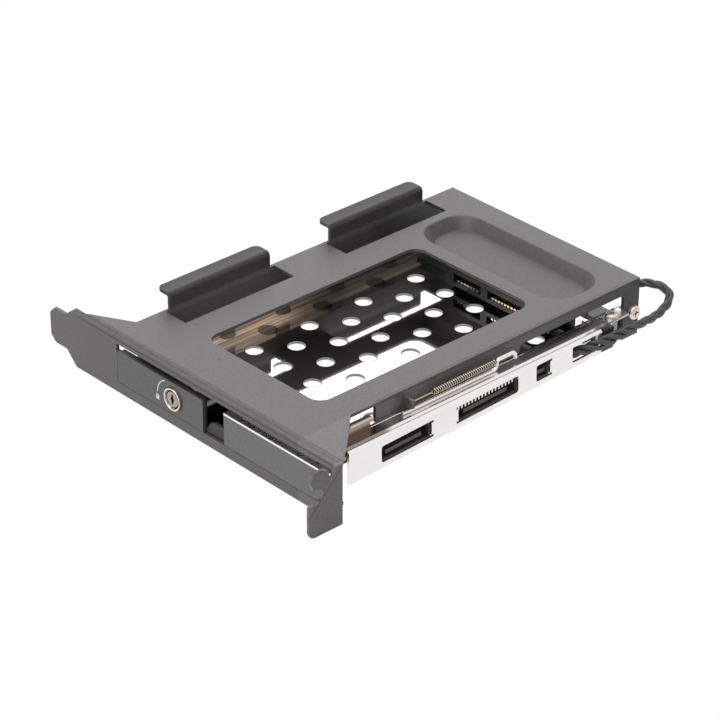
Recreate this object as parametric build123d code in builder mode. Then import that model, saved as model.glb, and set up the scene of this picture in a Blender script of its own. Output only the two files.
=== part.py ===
# Hot swap drive cage for an expansion slot, millimetres.
# X runs along the slot bracket, Y from the bracket's front face to the rear, Z is up.
# The origin is on the front face, at the middle of the bay, level with the bottom edge.
import os
from math import atan, cos, radians, sin, tan

from build123d import *

os.makedirs("parts", exist_ok=True)

# The drive that the cage takes
drive_width = 69.85
drive_length = 100.2
drive_front = 8.0
drive_side_room = 1.075
drive_rear_room = 20.8
drive_gap = 0.4

# Bracket and cover, one sheet of black painted steel
sheet = 1.0
bracket_height = 18.4
bracket_length = 120.0
flange_out = 16.1  # from the right wall to the outer face of the bent flange
flange_reach = 10.4
lobe_over = 0.8
bend_radius = 1.5
tongue_width = 11.0
tongue_reach = 7.0
shoulder = 4.1
plate_step = 4.2
left_flare = 7.2
right_flare = 18.5
tail_notch_z = 12.0
tail_notch_end = 5.7
tail_notch_width = 4.4

# Front opening and door
opening_bottom = 3.3
opening_margin = 3.0
opening_play = 0.3
opening_end = 1.5
door_gap = 0.15
slot_height = 2.1
hinge_inset = 6.7
door_past_hinge = 2.1
finger_gap_left = -0.2
finger_gap_width = 8.6
door_backing = 1.0
trim_height = 0.6
form_left = 1.0
form_height = 3.9
form_foot = 1.0

# Windows and recesses in the cover
window_width = 46.2
window_centre_x = 5.0
window_front = 16.3
window_margin = 33.7
window_radius = 4.0
dish_centre_x = 4.0
dish_side = 8.7
dish_length = 20.6
dish_margin = 18.5
dish_depth = 3.0
dish_radius = 8.0
dish_slope = 48
dish_rim = 0.8

# Mounting tabs that stand up from the left edge of the cover
tab_first = 17.8
tab_rear_margin = 11.8
tab_length = 39.8
tab_relief = 1.6
tab_cut = 8.5
tab_rise = 5.0
tab_lip = 4.8
tab_bend = 1.4
tab_corner = 2.0

# Tray and side rail, stainless sheet
steel = 0.8
tray_inset = 0.9
floor_top = 3.2
tray_left_height = 8.2
tray_bend = 1.0
rail_reach = 4.6
rail_front = 13.8
rail_short = 19.8
rail_top = 11.0
rail_foot = 0.8
rail_rise = 2.7  # the lower edge and the windows climb this much towards the rear
rail_bend = 1.2
hole_d = 5.2
hole_step_x = 6.1
hole_step_y = 20.8
hole_rows = 9
hole_first_y = 28.6
hole_count_y = 4

# Ports seen through the rail, placed by their share of its length
port_share = (0.1226, 0.4172, 0.7296)
port_length = (18.2, 22.8, 5.4)
exit_share = 0.8784
port_lift = 1.6
port_height = 5.1
port_notch = (1, -1, 1)  # the end of each window that has relief notches
port_edge = 0.4
port_wall = 0.3
port_socket = 2.8
window_relief = 0.7
window_end = 1.6
side_board_thick = 1.2
side_board_past = 4.0
pin_step = 1.27
pin_wide = 0.5
pin_tall = 1.7
pin_deep = 0.9

# Right wall of the cover
wall_front = 27.4
wall_low_end = 81.0
wall_lip = 3.4
wall_leg = 6.3
wall_foot = 0.5
wall_corner = 1.5

# Hinge, ejector
hinge_y = 3.2
hinge_pin_d = 1.8
hinge_play = 0.05
knuckle_d = 3.8
lug_width = 4.8
lug_reach = 5.2
arm_reach = 6.0
arm_angle = 135
arm_thick = 1.0
link_pin_d = 1.6
run_gap = 0.2
slide_thick = 1.0
slide_inset = 0.8
fork_slack = 0.4
fork_wall = 1.2
finger_reach = 6.0
finger_wide = 2.2
finger_end = 1.2
fold_front = 13.0
fold_length = 11.0
fold_height = 4.4
rod_d = 1.2
rod_offset = 2.0
rod_lead = 11.0
rod_past = 0.8
rod_rise = 2.6
rod_back = 7.0
rod_drop = 2.0
spring_d = 2.6
spring_wire = 0.45
spring_lug_y = 38.4
spring_front = 46.0
spring_length = 23.4
spring_lift = 2.8

# Key lock
lock_x = -12.4
lock_body_d = 7.0
lock_ring_d = 7.6
lock_ring_out = 0.7
plug_d = 4.6
plug_play = 0.1
plug_sunk = 0.3
lock_depth = 6.0
cam_length = 8.6
cam_thick = 1.0
cam_width = 4.4
key_slot = 0.8
key_depth = 3.0

# Board behind the drive, its connector, cable and screws
board_thick = 1.6
board_side_room = 5.3
board_rear_room = 1.0
connector_mate = 3.7
connector_back = 1.3
connector_rear = 2.3
connector_length = 42.0
connector_x = 5.6
connector_height = 5.2
signal_x = -12.0
signal_wide = 11.2
power_x = 7.0
power_wide = 21.6
socket_height = 2.6
contact_wide = 0.8
contact_sunk = 0.3
cable_d = 2.6
plug_past = 3.6
plug_front_gap = 0.7
plug_high = 3.4
lead_lift = 1.3
lead_run = 1.6
lead_clear = 0.6
loop_rear = 8.0
loop_rise = 5.6
clip_wide = 4.0
clip_out = 5.0
header_inset = 5.0
header_z = 10.0
header_length = 5.0
header_wide = 8.0
screw_head_d = 4.2
screw_head_h = 1.4
screw_d = 2.0
screw_play = 0.1
screw_web = 0.6
screw_socket = 0.9
screw_z = 8.3
screw_inset = 1.6
ledge_screw_inset = 5.6
ledge_screw_out = 2.4

# Derived levels and positions
cover_half_width = drive_width / 2 + drive_side_room + steel + sheet
cover_depth = drive_front + drive_length + drive_rear_room
flange_x = cover_half_width + flange_out
flange_lobe = bracket_height + lobe_over
tip_x = flange_x - bracket_length
cover_under = bracket_height - sheet
wall_inner = cover_half_width - sheet
tray_half = wall_inner
hinge_x = flange_x - hinge_inset
door_right = hinge_x + door_past_hinge
opening_left = opening_play - tray_half
opening_right = door_right + opening_end
opening_top = bracket_height - opening_margin
opening_height = opening_top - opening_bottom
door_left = opening_left + door_gap
door_bottom = opening_bottom + door_gap
door_top = opening_top - slot_height
lock_z = (door_bottom + door_top) / 2
finger_gap_right = finger_gap_left + finger_gap_width
window_length = cover_depth - window_margin - window_front
dish_width = 2 * (cover_half_width - dish_side)
dish_centre_y = cover_depth - dish_margin
tab_fronts = (tab_first, cover_depth - tab_rear_margin - tab_length)
floor_under = floor_top - steel
tray_rear = cover_depth - tray_inset
wall_leg_front = cover_depth - wall_leg
rail_out = cover_half_width + rail_reach
rail_rear = cover_depth - rail_short
rail_tongue = wall_leg_front - sheet
rail_under = rail_top - steel
rail_length = rail_rear - rail_front
rail_angle = atan(rail_rise / rail_length)
rail_rear_foot = rail_foot + rail_rise
port_start = [share * rail_length for share in port_share]
port_centre = port_lift + port_height / 2
side_board_front = rail_front + port_start[0] - side_board_past
side_board_end = rail_front + port_start[2] + port_length[2] + side_board_past
port_depth = rail_reach - steel - side_board_thick + sheet - run_gap
exit_start = exit_share * rail_length
slide_z = rail_top + run_gap
slide_top = slide_z + slide_thick
slide_left = cover_half_width + slide_inset
slide_right = rail_out - slide_inset + run_gap
fork_right = hinge_x - knuckle_d / 2 - fork_slack
arm_x = hinge_x + arm_reach * cos(radians(arm_angle))
arm_y = hinge_y + arm_reach * sin(radians(arm_angle))
arm_z = slide_top + run_gap
fork_front = arm_y - link_pin_d / 2 - fork_slack - fork_wall
finger_front = drive_front + drive_length + drive_gap
slide_rear = finger_front + finger_wide + finger_end
rod_x = cover_half_width + rod_offset
rod_front = spring_front - rod_lead
rod_rear = spring_front + spring_length + rod_past
spring_z = slide_top + spring_lift
lower_lug = opening_bottom - opening_play - sheet
upper_lug = opening_top + run_gap
knuckle_bottom = opening_bottom + run_gap
knuckle_top = opening_top - run_gap
board_half = cover_half_width - board_side_room - sheet
board_front = finger_front
board_top = floor_top + board_thick
connector_front = board_front - connector_mate - drive_gap
socket_z = board_top + connector_height / 2
header_front = board_front + connector_rear + run_gap
header_rear = header_front + header_length
header_x = board_half - header_inset
plug_front = rail_front + port_start[2] + port_length[2] + port_edge + plug_front_gap
plug_rear = side_board_end + plug_past
plug_x = tray_half + side_board_thick + plug_high / 2
lead_z = rail_foot + rail_rise * exit_share + port_lift + lead_lift
lead_x = rail_out + cable_d / 2 + lead_clear
screw_spots = ((1, tray_rear - screw_inset), (-1, tray_rear - screw_inset), (-1, sheet + left_flare + 6))


def rail_plane(x):
    """Upright plane at x whose first axis climbs with the rail's lower edge, from its front corner."""
    along = (0, cos(rail_angle), sin(rail_angle))
    return Plane(origin=(x, rail_front, rail_foot), x_dir=along, z_dir=(1, 0, 0))


# 1 Bracket and cover
with BuildPart() as cover_bracket:
    with BuildSketch(Plane.XZ):
        with BuildLine():
            Polyline(
                (flange_x, 0),
                (flange_x, bracket_height),
                (tip_x + tongue_reach + shoulder, bracket_height),
                (tip_x + tongue_reach, shoulder + tongue_width),
                (tip_x + 2, shoulder + tongue_width),
                (tip_x, shoulder + tongue_width - 2),
                (tip_x, shoulder + 2),
                (tip_x + 2, shoulder),
                (tip_x + tongue_reach, shoulder),
                (tip_x + tongue_reach + shoulder, 0),
                close=True,
            )
        make_face()
        with Locations(((opening_left + opening_right) / 2, opening_bottom + opening_height / 2)):
            RectangleRounded(opening_right - opening_left, opening_height, 0.6, mode=Mode.SUBTRACT)
    extrude(amount=-sheet)
    # Top plate with its flared front corners
    with BuildSketch(Plane.XY.offset(cover_under)):
        with BuildLine():
            Polyline(
                (flange_x, 0),
                (flange_x, sheet),
                (cover_half_width + 8, right_flare * 0.55),
                (cover_half_width, right_flare),
                (cover_half_width, cover_depth),
                (-cover_half_width, cover_depth),
                (-cover_half_width, sheet + left_flare),
                (tip_x + tongue_reach + shoulder + plate_step, sheet),
                (tip_x + tongue_reach + shoulder + plate_step, 0),
                close=True,
            )
        make_face()
    extrude(amount=sheet)
    # Flange that is screwed to the computer's case
    with BuildSketch(Plane.YZ.offset(flange_x - sheet)):
        with BuildLine():
            Polyline(
                (sheet, 0),
                (sheet, bracket_height),
                (-1.2, bracket_height),
                (-2.0, bracket_height - 3.2),
                (-3.0, bracket_height - 3.2),
                (-4.4, flange_lobe - 0.6),
                (-6.2, flange_lobe),
                (-8.4, flange_lobe - 0.1),
                (-flange_reach + 0.8, flange_lobe - 0.9),
                (-flange_reach + 0.4, flange_lobe - 2.6),
                (-flange_reach + 1.6, tail_notch_z + tail_notch_width / 2),
                (-flange_reach + 1.6, tail_notch_z - tail_notch_width / 2),
                (-flange_reach, tail_notch_z - tail_notch_width / 2 - 0.3),
                (-flange_reach, 1.6),
                (-flange_reach + 0.5, 0.5),
                (-flange_reach + 1.6, 0),
                close=True,
            )
        make_face()
        with Locations((-flange_reach, tail_notch_z)):
            SlotOverall(2 * (flange_reach - tail_notch_end), tail_notch_width, mode=Mode.SUBTRACT)
    extrude(amount=sheet)
    # Left wall, whole, and right wall, cut back beside the ejector
    with BuildSketch(Plane.YZ.offset(-cover_half_width)):
        with BuildLine():
            Polyline(
                (sheet + left_flare, wall_foot),
                (sheet + left_flare, cover_under),
                (cover_depth, cover_under),
                (cover_depth, wall_foot),
                close=True,
            )
        make_face()
    extrude(amount=sheet)
    with BuildSketch(Plane.YZ.offset(wall_inner)) as wall_sketch:
        with BuildLine():
            Polyline(
                (wall_front, cover_under),
                (wall_front, slide_top + run_gap),
                (wall_low_end, slide_top + run_gap),
                (wall_low_end, bracket_height - wall_lip),
                (wall_leg_front, bracket_height - wall_lip),
                (wall_leg_front, wall_foot),
                (cover_depth, wall_foot),
                (cover_depth, cover_under),
                close=True,
            )
        make_face()
        fillet(wall_sketch.vertices().group_by(Axis.Y)[2], wall_corner)
    extrude(amount=sheet)
    # Lug that holds the front hook of the spring
    with BuildSketch(Plane.XZ.offset(-spring_lug_y)):
        with Locations(((cover_half_width + rod_x + spring_d / 2) / 2, spring_z)):
            Rectangle(rod_x + spring_d / 2 - cover_half_width, spring_d)
    extrude(amount=sheet)
    # Hinge lugs, bent in above and below the opening
    for z in (lower_lug, upper_lug):
        with BuildSketch(Plane.XY.offset(z)):
            with Locations((hinge_x, lug_reach / 2)):
                Rectangle(lug_width, lug_reach)
        extrude(amount=sheet)
        with BuildSketch(Plane.XY.offset(z)):
            with Locations((hinge_x, hinge_y)):
                Circle(hinge_pin_d / 2)
        extrude(amount=sheet, mode=Mode.SUBTRACT)
    # Window
    with BuildSketch(Plane.XY.offset(cover_under)):
        with Locations((window_centre_x, window_front + window_length / 2)):
            RectangleRounded(window_width, window_length, window_radius)
    extrude(amount=sheet, mode=Mode.SUBTRACT)
    # Pressed dish
    with BuildSketch(Plane.XY.offset(bracket_height)):
        with Locations((dish_centre_x, dish_centre_y)):
            RectangleRounded(dish_width + 2 * sheet, dish_length + 2 * sheet, dish_radius + sheet)
    extrude(amount=-(dish_depth + sheet), taper=dish_slope)
    with BuildSketch(Plane.XY.offset(bracket_height)):
        with Locations((dish_centre_x, dish_centre_y)):
            RectangleRounded(dish_width, dish_length, dish_radius)
    extrude(amount=-dish_depth, taper=dish_slope, mode=Mode.SUBTRACT)
    # Soft rim of the dish
    rim = cover_bracket.edges().filter_by_position(Axis.Z, bracket_height - 0.01, bracket_height + 0.01)
    rim = rim.filter_by_position(Axis.Y, dish_centre_y - dish_length / 2 - 0.01, dish_centre_y + dish_length / 2 + 0.01)
    rim = rim.filter_by_position(Axis.X, dish_centre_x - dish_width / 2 - 0.01, dish_centre_x + dish_width / 2 + 0.01)
    fillet(rim, dish_rim)
    # Cuts that free the two tabs, and the tabs themselves
    for front in tab_fronts:
        with BuildSketch(Plane.XY.offset(cover_under)):
            with Locations((-cover_half_width + tab_cut / 2 + sheet, front + tab_length / 2)):
                Rectangle(tab_cut, tab_length)
        extrude(amount=sheet, mode=Mode.SUBTRACT)
        with BuildSketch(Plane.XZ.offset(-(front + tab_relief))) as tab_sketch:
            with BuildLine():
                Polyline(
                    (-cover_half_width, cover_under),
                    (-cover_half_width, bracket_height + tab_rise - sheet),
                    (-cover_half_width - tab_lip, bracket_height + tab_rise - sheet),
                    (-cover_half_width - tab_lip, bracket_height + tab_rise),
                    (-cover_half_width + sheet, bracket_height + tab_rise),
                    (-cover_half_width + sheet, cover_under),
                    close=True,
                )
            make_face()
            top_bend = (-cover_half_width + sheet, bracket_height + tab_rise, 0)
            inner_bend = (-cover_half_width, bracket_height + tab_rise - sheet, 0)
            fillet(tab_sketch.vertices().sort_by_distance(top_bend)[0], tab_bend)
            fillet(tab_sketch.vertices().sort_by_distance(inner_bend)[0], tab_bend - sheet)
        extrude(amount=-(tab_length - 2 * tab_relief))
    lip_edge = -cover_half_width - tab_lip
    lip_corners = cover_bracket.edges().filter_by(Axis.Z).filter_by_position(Axis.X, lip_edge - 0.01, lip_edge + 0.01)
    fillet(lip_corners, tab_corner)
    # Outer bends
    front_bend = cover_bracket.edges().filter_by(Axis.X).filter_by_position(Axis.Y, -0.01, 0.01)
    front_bend = front_bend.filter_by_position(Axis.Z, bracket_height - 0.01, bracket_height + 0.01)
    fillet(front_bend.sort_by(SortBy.LENGTH)[-1], bend_radius)
    # Clearance holes for the three screws
    for side, y in screw_spots:
        with Locations(Plane(origin=(side * cover_half_width, y, screw_z), z_dir=(side, 0, 0))):
            Hole(screw_d / 2 + screw_play, depth=sheet)
cover_bracket.part.label = "cover_bracket"
export_step(cover_bracket.part, "parts/cover_bracket.step")

# 2 Drive tray
with BuildPart() as drive_tray:
    with BuildSketch(Plane.XZ.offset(-sheet)) as tray_sketch:
        with BuildLine():
            Polyline(
                (-tray_half, floor_under),
                (-tray_half, floor_under + tray_left_height),
                (-tray_half + steel, floor_under + tray_left_height),
                (-tray_half + steel, floor_top),
                (tray_half - steel, floor_top),
                (tray_half - steel, rail_top),
                (tray_half, rail_top),
                (tray_half, floor_under),
                close=True,
            )
        make_face()
        for side in (-1, 1):
            outer = tray_sketch.vertices().sort_by_distance((side * tray_half, floor_under, 0))[0]
            fillet(outer, tray_bend + steel)
            inner = tray_sketch.vertices().sort_by_distance((side * (tray_half - steel), floor_top, 0))[0]
            fillet(inner, tray_bend)
    extrude(amount=-(tray_rear - sheet))
    # Both walls stop behind the door, level with the flared corner of the cover
    with BuildSketch(Plane.XY.offset(floor_top)):
        with Locations((0, sheet + left_flare / 2)):
            Rectangle(2 * tray_half, left_flare)
    extrude(amount=tray_left_height, mode=Mode.SUBTRACT)
    # Staggered round holes in the floor
    with BuildSketch(Plane.XY.offset(floor_under)):
        for row in range(hole_rows):
            x = (row - (hole_rows - 1) / 2) * hole_step_x
            stagger = hole_step_y / 2 * (1 - row % 2)
            spots = [(x, hole_first_y + stagger + i * hole_step_y) for i in range(hole_count_y)]
            with Locations(*spots):
                Circle(hole_d / 2)
    extrude(amount=steel, mode=Mode.SUBTRACT)
    for side, y in screw_spots:
        with Locations(Plane(origin=(side * tray_half, y, screw_z), z_dir=(side, 0, 0))):
            Hole(screw_d / 2, depth=steel)
drive_tray.part.label = "drive_tray"
export_step(drive_tray.part, "parts/drive_tray.step")

# 3 Side rail with the port windows
with BuildPart() as side_rail:
    with BuildSketch(Plane.XZ.offset(-rail_front)) as rail_sketch:
        with BuildLine():
            Polyline(
                (tray_half, rail_under),
                (tray_half, rail_top),
                (rail_out, rail_top),
                (rail_out, rail_foot),
                (rail_out - steel, rail_foot),
                (rail_out - steel, rail_under),
                close=True,
            )
        make_face()
        fillet(rail_sketch.vertices().sort_by_distance((rail_out, rail_top, 0))[0], rail_bend)
    extrude(amount=-(rail_rear - rail_front))
    # Ledge carried on behind the wall, to the screw
    with BuildSketch(Plane.XY.offset(rail_under)):
        with Locations(((tray_half + rail_out - 2 * steel) / 2, (rail_rear + rail_tongue) / 2)):
            Rectangle(rail_out - 2 * steel - tray_half, rail_tongue - rail_rear)
    extrude(amount=steel)
    # Lower edge that climbs towards the rear
    with BuildSketch(Plane.YZ.offset(rail_out - steel)):
        with BuildLine():
            Polyline((rail_front, rail_foot), (rail_rear, rail_foot), (rail_rear, rail_rear_foot), close=True)
        make_face()
    extrude(amount=steel, mode=Mode.SUBTRACT)
    # Windows for the ports and for the leads
    for start, length, end in zip(port_start, port_length, port_notch):
        with BuildSketch(rail_plane(rail_out - steel)):
            with Locations((start + length / 2, port_centre)):
                RectangleRounded(length, port_height, 0.7)
            for level in (port_lift + window_relief / 2, port_lift + port_height - window_relief / 2):
                with Locations((start + length / 2 + end * window_relief * 1.5, level)):
                    Rectangle(length - window_relief, window_relief)
        extrude(amount=steel, mode=Mode.SUBTRACT)
    with BuildSketch(rail_plane(rail_out - steel)):
        with Locations(((exit_start + rail_length - window_end) / 2, port_centre)):
            RectangleRounded(rail_length - window_end - exit_start, port_height, 0.7)
    extrude(amount=steel, mode=Mode.SUBTRACT)
side_rail.part.label = "side_rail"
export_step(side_rail.part, "parts/side_rail.step")

# 4 Lock panel, the left half of the door
with BuildPart() as lock_panel:
    with BuildSketch(Plane.XZ):
        with Locations(((door_left + finger_gap_left) / 2, (door_bottom + door_top) / 2)):
            Rectangle(finger_gap_left - door_left, door_top - door_bottom)
        with Locations((lock_x, lock_z)):
            Circle(lock_body_d / 2, mode=Mode.SUBTRACT)
    extrude(amount=-sheet)
lock_panel.part.label = "lock_panel"
export_step(lock_panel.part, "parts/lock_panel.step")

# 5 Pull flap, the right half of the door
with BuildPart() as pull_flap:
    with BuildSketch(Plane.XZ):
        with Locations(((door_right + finger_gap_right) / 2, (door_bottom + door_top - trim_height) / 2)):
            Rectangle(door_right - finger_gap_right, door_top - trim_height - door_bottom)
    extrude(amount=-sheet)
pull_flap.part.label = "pull_flap"
export_step(pull_flap.part, "parts/pull_flap.step")

# 6 Backing that joins both halves, with the hinge knuckle and the ejector arm
with BuildPart() as door_backing_plate:
    with BuildSketch(Plane.XZ.offset(-sheet)):
        with BuildLine():
            Polyline(
                (door_left + 1, door_bottom),
                (door_left + 1, door_top),
                (finger_gap_left - 0.5, door_top),
                (finger_gap_left - 0.5, door_bottom + form_foot),
                (finger_gap_left + form_left, door_bottom + form_foot),
                (finger_gap_left + form_left + 0.3, door_bottom + form_height - 1.6),
                (finger_gap_left + form_left + 1.0, door_bottom + form_height - 0.6),
                (finger_gap_left + form_left + 2.4, door_bottom + form_height),
                (finger_gap_right + 0.5, door_bottom + form_height),
                (finger_gap_right + 0.5, door_top - trim_height),
                (door_right, door_top - trim_height),
                (door_right, door_bottom),
                close=True,
            )
        make_face()
        with Locations((lock_x, lock_z)):
            Circle(lock_body_d / 2 + hinge_play, mode=Mode.SUBTRACT)
    extrude(amount=-door_backing)
    # Knuckle
    with BuildSketch(Plane.XY.offset(knuckle_bottom)):
        with Locations((hinge_x, hinge_y)):
            Circle(knuckle_d / 2)
        with Locations((hinge_x, (sheet + hinge_y) / 2)):
            Rectangle(knuckle_d, hinge_y - sheet)
    extrude(amount=knuckle_top - knuckle_bottom)
    # Arm
    with BuildSketch(Plane.XY.offset(arm_z)):
        with Locations(Location(((hinge_x + arm_x) / 2, (hinge_y + arm_y) / 2), arm_angle)):
            SlotCenterToCenter(arm_reach, link_pin_d + 1.4)
    extrude(amount=arm_thick)
    with BuildSketch(Plane.XY.offset(knuckle_bottom)):
        with Locations((hinge_x, hinge_y)):
            Circle(hinge_pin_d / 2 + hinge_play)
    extrude(amount=knuckle_top - knuckle_bottom, mode=Mode.SUBTRACT)
door_backing_plate.part.label = "door_backing_plate"
export_step(door_backing_plate.part, "parts/door_backing_plate.step")

# 7 Bright fold over the top edge of the flap
with BuildPart() as flap_trim:
    with BuildSketch(Plane.XY.offset(door_top - trim_height)):
        with BuildLine():
            Polyline(
                (finger_gap_right, 0),
                (door_right, 0),
                (door_right, sheet),
                (hinge_x - knuckle_d / 2 - hinge_play, sheet),
                (hinge_x - knuckle_d / 2 - hinge_play, sheet + door_backing),
                (finger_gap_right, sheet + door_backing),
                close=True,
            )
        make_face()
    extrude(amount=trim_height)
flap_trim.part.label = "flap_trim"
export_step(flap_trim.part, "parts/flap_trim.step")

# 8 Pin that links the arm to the slide
with BuildPart() as link_pin:
    with BuildSketch(Plane.XY.offset(slide_z - 0.6)):
        with Locations((arm_x, arm_y)):
            Circle(link_pin_d / 2)
    extrude(amount=arm_z - slide_z + 0.6)
link_pin.part.label = "link_pin"
export_step(link_pin.part, "parts/link_pin.step")

# 9 Hinge pin
with BuildPart() as hinge_pin:
    with BuildSketch(Plane.XY.offset(lower_lug)):
        with Locations((hinge_x, hinge_y)):
            Circle(hinge_pin_d / 2)
    extrude(amount=upper_lug + sheet - lower_lug)
hinge_pin.part.label = "hinge_pin"
export_step(hinge_pin.part, "parts/hinge_pin.step")

# 10 Lock housing with its bright ring
with BuildPart() as lock_housing:
    with BuildSketch(Plane.XZ.offset(lock_ring_out)):
        with Locations((lock_x, lock_z)):
            Circle(lock_ring_d / 2)
            Circle(plug_d / 2 + plug_play, mode=Mode.SUBTRACT)
    extrude(amount=-lock_ring_out)
    with BuildSketch(Plane.XZ):
        with Locations((lock_x, lock_z)):
            Circle(lock_body_d / 2)
            Circle(plug_d / 2 + plug_play, mode=Mode.SUBTRACT)
    extrude(amount=-lock_depth)
    rim = lock_housing.edges().filter_by(GeomType.CIRCLE).group_by(Axis.Y)[0].sort_by(SortBy.RADIUS)[-1]
    chamfer(rim, 0.35)
lock_housing.part.label = "lock_housing"
export_step(lock_housing.part, "parts/lock_housing.step")

# 11 Lock plug with the key slot
with BuildPart() as lock_plug:
    with BuildSketch(Plane.XZ.offset(lock_ring_out - plug_sunk)):
        with Locations((lock_x, lock_z)):
            Circle(plug_d / 2)
    extrude(amount=-(lock_depth + lock_ring_out - plug_sunk + run_gap))
    with BuildSketch(Plane.XZ.offset(lock_ring_out - plug_sunk)):
        with Locations((lock_x, lock_z)):
            Rectangle(key_slot, plug_d * 0.62)
            with Locations((0, 0)):
                Circle(key_slot * 0.85)
    extrude(amount=-key_depth, mode=Mode.SUBTRACT)
lock_plug.part.label = "lock_plug"
export_step(lock_plug.part, "parts/lock_plug.step")

# 12 Cam with a tip that reaches forward to the back of the bracket
with BuildPart() as lock_cam:
    with BuildSketch(Plane.XZ.offset(-(lock_depth + run_gap))):
        with Locations((lock_x - (cam_length - cam_width / 2) / 2, lock_z)):
            Rectangle(cam_length - cam_width / 2, cam_width)
        with Locations((lock_x, lock_z)):
            Circle(cam_width / 2)
        with Locations((lock_x - cam_length + cam_width / 2, lock_z)):
            Rectangle(cam_width, cam_width)
    extrude(amount=-cam_thick)
    with BuildSketch(Plane.XZ.offset(-(sheet + door_backing + run_gap))):
        with Locations((lock_x - cam_length + cam_thick / 2, lock_z)):
            Rectangle(cam_thick, cam_width * 0.7)
    extrude(amount=-(lock_depth - sheet - door_backing))
lock_cam.part.label = "lock_cam"
export_step(lock_cam.part, "parts/lock_cam.step")

# 13 Ejector slide: a strip on the rail's ledge, a folded front and a finger behind the drive
with BuildPart() as eject_slide:
    with BuildSketch(Plane.XY.offset(slide_z)):
        with BuildLine():
            Polyline(
                (slide_left, fork_front),
                (fork_right, fork_front),
                (fork_right, arm_y + 3.0),
                (slide_right, arm_y + 5.0),
                (slide_right, slide_rear),
                (slide_left, slide_rear),
                close=True,
            )
        make_face()
        with Locations(((arm_x + hinge_x - arm_reach) / 2, arm_y)):
            SlotOverall(
                arm_x - hinge_x + arm_reach + link_pin_d + 2 * fork_slack, link_pin_d + 2 * fork_slack, mode=Mode.SUBTRACT
            )
        # Finger that reaches in behind the drive
        with Locations((slide_left - finger_reach / 2, finger_front + finger_wide / 2)):
            Rectangle(finger_reach, finger_wide)
    extrude(amount=slide_thick)
    # Folded front: an upright web and a top lip
    with BuildSketch(Plane.XZ.offset(-fold_front)):
        with BuildLine():
            Polyline(
                (slide_left, slide_top),
                (slide_left, slide_top + fold_height),
                (slide_right - sheet, slide_top + fold_height),
                (slide_right - sheet, slide_top + fold_height - steel),
                (slide_left + steel, slide_top + fold_height - steel),
                (slide_left + steel, slide_top),
                close=True,
            )
        make_face()
    extrude(amount=-fold_length)
    # Push face at the finger's end
    with BuildSketch(Plane.XZ.offset(-finger_front)):
        with Locations((slide_left - finger_reach + finger_end, (floor_top + finger_end + slide_top) / 2)):
            Rectangle(2 * finger_end, slide_top - floor_top - finger_end)
    extrude(amount=-slide_thick)
eject_slide.part.label = "eject_slide"
export_step(eject_slide.part, "parts/eject_slide.step")

# 14 Ejector rod, bent up at the rear to take the spring
with BuildPart() as eject_rod:
    with BuildLine() as rod_path:
        FilletPolyline(
            (rod_x, rod_front, slide_top + rod_d / 2),
            (rod_x, rod_rear, slide_top + rod_d / 2),
            (rod_x, rod_rear, slide_top + rod_d / 2 + rod_rise),
            (rod_x, rod_rear + rod_back, slide_top + rod_d / 2 + rod_rise),
            (rod_x, rod_rear + rod_back, slide_top + rod_d / 2 + rod_rise - rod_drop),
            radius=rod_d * 0.9,
        )
    with BuildSketch(Plane(origin=rod_path.line @ 0, z_dir=rod_path.line % 0)):
        RegularPolygon(rod_d / 2, 8)
    sweep()
eject_rod.part.label = "eject_rod"
export_step(eject_rod.part, "parts/eject_rod.step")

# 15 Ejector spring, drawn as its sleeve
with BuildPart() as eject_spring:
    with BuildSketch(Plane.XZ.offset(-spring_front)):
        with Locations((rod_x, spring_z)):
            Circle(spring_d / 2)
            Circle(spring_d / 2 - spring_wire, mode=Mode.SUBTRACT)
    extrude(amount=-spring_length)
eject_spring.part.label = "eject_spring"
export_step(eject_spring.part, "parts/eject_spring.step")

# 16 Spring hooks
with BuildPart() as spring_hooks:
    with BuildSketch(Plane.XZ.offset(-spring_lug_y)):
        with Locations((rod_x, spring_z)):
            Circle(spring_wire / 2)
    extrude(amount=-(spring_front - spring_lug_y))
spring_hooks.part.label = "spring_hook"
export_step(spring_hooks.part, "parts/spring_hook.step")

# 17 Board behind the drive, flat on the tray
with BuildPart() as backplane_board:
    with BuildSketch(Plane.XY.offset(floor_top)):
        with Locations((0, (board_front + tray_rear - board_rear_room) / 2)):
            Rectangle(2 * board_half, tray_rear - board_rear_room - board_front)
    extrude(amount=board_thick)
backplane_board.part.label = "backplane_board"
export_step(backplane_board.part, "parts/backplane_board.step")

# 18 Drive connector housing with a socket for signals and one for power
with BuildPart() as drive_connector:
    with BuildSketch(Plane.XZ.offset(-connector_front)):
        with Locations((connector_x, socket_z)):
            Rectangle(connector_length, connector_height)
    extrude(amount=-(board_front + connector_rear - connector_front))
    with BuildSketch(Plane.XZ.offset(-connector_front)):
        with Locations((connector_x + signal_x, socket_z)):
            Rectangle(signal_wide, socket_height)
        with Locations((connector_x + power_x, socket_z)):
            Rectangle(power_wide, socket_height)
    extrude(amount=-connector_mate, mode=Mode.SUBTRACT)
drive_connector.part.label = "drive_connector"
export_step(drive_connector.part, "parts/drive_connector.step")

# 19 Gold contacts, seven for signals and fifteen for power
with BuildPart() as drive_contacts:
    with BuildSketch(Plane.XZ.offset(-(connector_front + contact_sunk))):
        with Locations((connector_x + signal_x, socket_z - (socket_height - contact_wide) / 2)):
            with GridLocations(pin_step, 1, 7, 1):
                Rectangle(contact_wide, contact_wide)
        with Locations((connector_x + power_x, socket_z - (socket_height - contact_wide) / 2)):
            with GridLocations(pin_step, 1, 15, 1):
                Rectangle(contact_wide, contact_wide)
    extrude(amount=-(connector_mate - contact_sunk))
drive_contacts.part.label = "drive_contacts"
export_step(drive_contacts.part, "parts/drive_contacts.step")

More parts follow.
